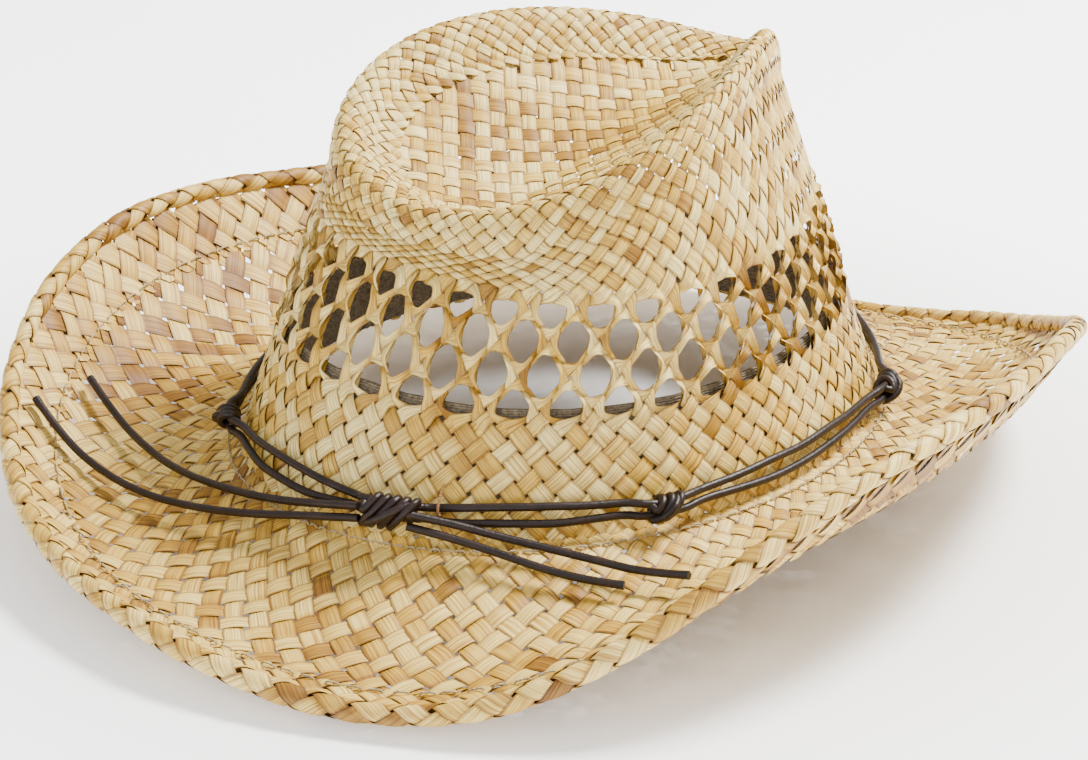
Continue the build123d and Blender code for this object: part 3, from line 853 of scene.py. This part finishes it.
for number, (start, finish) in enumerate(zip(band, band[1:] + band[:1]), start=1):
    angle, knot, reach, inset = start
    next_angle, next_knot, next_reach, next_inset = finish
    turn = next_angle - angle + (360 if next_angle < angle else 0)
    for row, name in enumerate(("upper", "lower")):
        own = random.Random(100 * number + row)
        height = STRAND_OFFSET[row]
        path = [at(knot, inset, height * 0.6, 0), at(knot, inset, height, reach)]
        for k in range(1, 8):
            share = k / 8
            phi = np.array(math.radians(angle + turn * share))
            settle = math.sin(math.pi * share)
            rise = STRAND_Z[row] - STRAND_MID + own.uniform(-0.5, 0.5)
            out = CORD_R + 0.9 + 1.6 * (1 - settle)
            path.append(crown_wall(phi, np.array(STRAND_MID + rise * settle**0.5), -out))
        path.append(at(next_knot, next_inset, height, -next_reach))
        path.append(at(next_knot, next_inset, height * 0.6, 0))
        piece = curve_piece(f"{name}_strand_cord_{number}", CORD, [path], CORD_R, 8)
        finish_piece(piece, "cord", f"{name}_strand_{number}")

# The four free tails, from the head oval's centre at the break: read off the photo
# through the fitted camera, then rounded and moved to clear the brim
TAILS = {
    "tail_left_outer": [
        (4, -112, 2), (-15, -115.5, -2.4), (-35, -117.5, -6), (-56, -118.5, -8),
        (-76, -118, -6.4), (-92, -117, -1.4), (-105, -115.5, 6.2),
    ],
    "tail_left_inner": [
        (5, -108.5, 4.6), (-14, -109.5, 0.6), (-34, -108.5, -2.4), (-57, -105, -5.2),
        (-78, -100, -4.6), (-94, -96, -1.2), (-108, -92.5, 4.6),
    ],
    "tail_right_outer": [
        (45, -97.4, 3.4), (56.2, -91.8, 0.8), (68, -87, -1.8), (79, -82.2, -3.4),
        (89, -77.2, -3.6),
    ],
    "tail_right_inner": [
        (43.5, -95.6, 6.6), (53.8, -88, 3.2), (65.2, -80.8, 0.8), (77.5, -74.8, -1),
        (90.5, -70.6, -1.8), (103, -67.4, 0.4),
    ],
}
# Height of each tail's exit on the main knot, the side it leaves by, and its length in metres
TAIL_EXITS = {
    "tail_left_outer": (-2.0, -1, 0.1319),
    "tail_left_inner": (1.6, -1, 0.1346),
    "tail_right_outer": (-2.0, 1, 0.0608),
    "tail_right_inner": (1.6, 1, 0.0791),
}
for name, hand_points in TAILS.items():
    height, side, length = TAIL_EXITS[name]
    exit_point = at(main_knot, 2.6, height, side * (MAIN_LENGTH / 2 - 1.5))
    route = [exit_point]
    for x, y, z in hand_points:
        route.append(np.array([CENTRE[0] + x, CENTRE[1] + y, BREAK_Z + z]))
    tail = curve_piece(f"{name}_cord", CORD, [route], CORD_R, 16)
    finish_piece(tail, "cord", name)
    heading = (route[-1] - route[-2]) / np.linalg.norm(route[-1] - route[-2])
    tip_line = [route[-1] + heading * a for a in (-1.6, -0.6, 0.35)]
    tip = curve_piece(f"{name}_tip", TIP, [tip_line], CORD_R * 1.07)
    finish_piece(tip, "cord")


def tack_line():
    """One stitch over the upper strand beside the main knot."""
    phi = math.radians(MAIN_ANGLE + 7.5)
    slant = 0.004  # radians from each point to the next
    # Heights above the break, and distances out from the crown
    spots = [(12.8, 0.2), (12.6, 3.4), (11.4, 6.2), (9.6, 6.9), (7.8, 6.2), (6.6, 3.4), (6.4, 0.2)]
    points = []
    for k, (z, out) in enumerate(spots):
        points.append(crown_wall(np.array(phi + slant * k), np.array(z), -out))
    return points


tack = curve_piece("tack_stitch", TACK, [tack_line()], 0.4)
finish_piece(tack, "tack_thread", "knot_tack")

# The wire and its sleeve stay as the CAD has them, in steel
for node in ("brim_wire", "wire_sleeve"):
    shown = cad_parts[node]
    for index in range(len(shown.material_slots)):
        shown.material_slots[index].material = STEEL

# ------------------------------------------------------ floor, light and camera
TARGET = Vector((-13.65 + CENTRE[0], 5.71 + CENTRE[1], BREAK_Z)) * MM
AZIMUTH, ELEVATION, DISTANCE = math.radians(42.0), math.radians(22.92), 0.9
RIGHT = Vector((math.cos(AZIMUTH), math.sin(AZIMUTH), 0))  # to the right in the picture
BACK = Vector((math.sin(AZIMUTH), -math.cos(AZIMUTH), 0))  # level, from the hat to the camera
UP = Vector((0, 0, 1))
FLOOR_DROP = 0.0003  # metres below the hat


def floor_material():
    """Pale floor that glows away from the hat and glows less near it, a painted shadow round and
    under the hat on top of its real shadow.
    """
    material, nodes, links, shader = node_material("pale_floor")
    coords = nodes.new("ShaderNodeTexCoord").outputs["Object"]
    grain = noise(nodes, links, coords, 8.0)
    greys = [(0.3, (0.93, 0.93, 0.93)), (0.7, (0.95, 0.95, 0.95))]
    links.new(link_ramp(nodes, links, grain, greys), shader.inputs["Base Color"])
    shader.inputs["Roughness"].default_value = 0.9
    shader.inputs["Emission Color"].default_value = (1, 1, 1, 1)
    distance = nodes.new("ShaderNodeVectorMath")
    distance.operation = "LENGTH"
    links.new(coords, distance.inputs[0])
    # Painted light and shadow: the floor glows though it is no lamp, and the glow fades near the
    # hat as a painted shadow.
    painted_glow_and_shadow = nodes.new("ShaderNodeMapRange")
    painted_glow_and_shadow.interpolation_type = "SMOOTHSTEP"
    painted_glow_and_shadow.inputs["From Min"].default_value = 0.09
    painted_glow_and_shadow.inputs["From Max"].default_value = 0.30
    painted_glow_and_shadow.inputs["To Min"].default_value = 0.0
    painted_glow_and_shadow.inputs["To Max"].default_value = 2.2
    links.new(distance.outputs["Value"], painted_glow_and_shadow.inputs["Value"])
    links.new(painted_glow_and_shadow.outputs["Result"], shader.inputs["Emission Strength"])
    return material


bpy.ops.mesh.primitive_plane_add(size=12, location=(0, 0, -FLOOR_DROP))
floor = bpy.context.object
floor.name = "floor"
floor.data.materials.append(floor_material())


def area_light(name, position, size, power, colour=WHITE):
    """A square light that faces the hat."""
    light = bpy.data.lights.new(name, "AREA")
    light.size = size
    light.energy = power
    light.color = colour
    lamp = bpy.data.objects.new(name, light)
    lamp.location = position
    lamp.rotation_euler = (TARGET - Vector(position)).to_track_quat("-Z", "Y").to_euler()
    bpy.context.scene.collection.objects.link(lamp)


KEY_COLOUR = (1.0, 0.985, 0.96)
area_light("key", TARGET + RIGHT * 0.75 - BACK * 0.25 + UP * 1.15, 0.36, 62, KEY_COLOUR)
area_light("fill", TARGET - RIGHT * 0.9 + BACK * 0.9 + UP * 0.8, 1.2, 7)
area_light("front", TARGET + BACK * 1.3 + RIGHT * 0.3 + UP * 0.5, 0.9, 4)

world = bpy.data.worlds.new("studio")
bpy.context.scene.world = world
world.use_nodes = True
world.node_tree.nodes["Background"].inputs["Color"].default_value = (1, 1, 1, 1)
world.node_tree.nodes["Background"].inputs["Strength"].default_value = 0.75

camera_data = bpy.data.cameras.new("camera")
camera_data.sensor_width = 36.0
camera_data.lens = 98.2
camera_data.clip_start = 0.01
camera = bpy.data.objects.new("camera", camera_data)
camera.location = TARGET + (BACK * math.cos(ELEVATION) + UP * math.sin(ELEVATION)) * DISTANCE
camera.rotation_euler = (TARGET - camera.location).to_track_quat("-Z", "Y").to_euler()
bpy.context.scene.collection.objects.link(camera)
bpy.context.scene.camera = camera
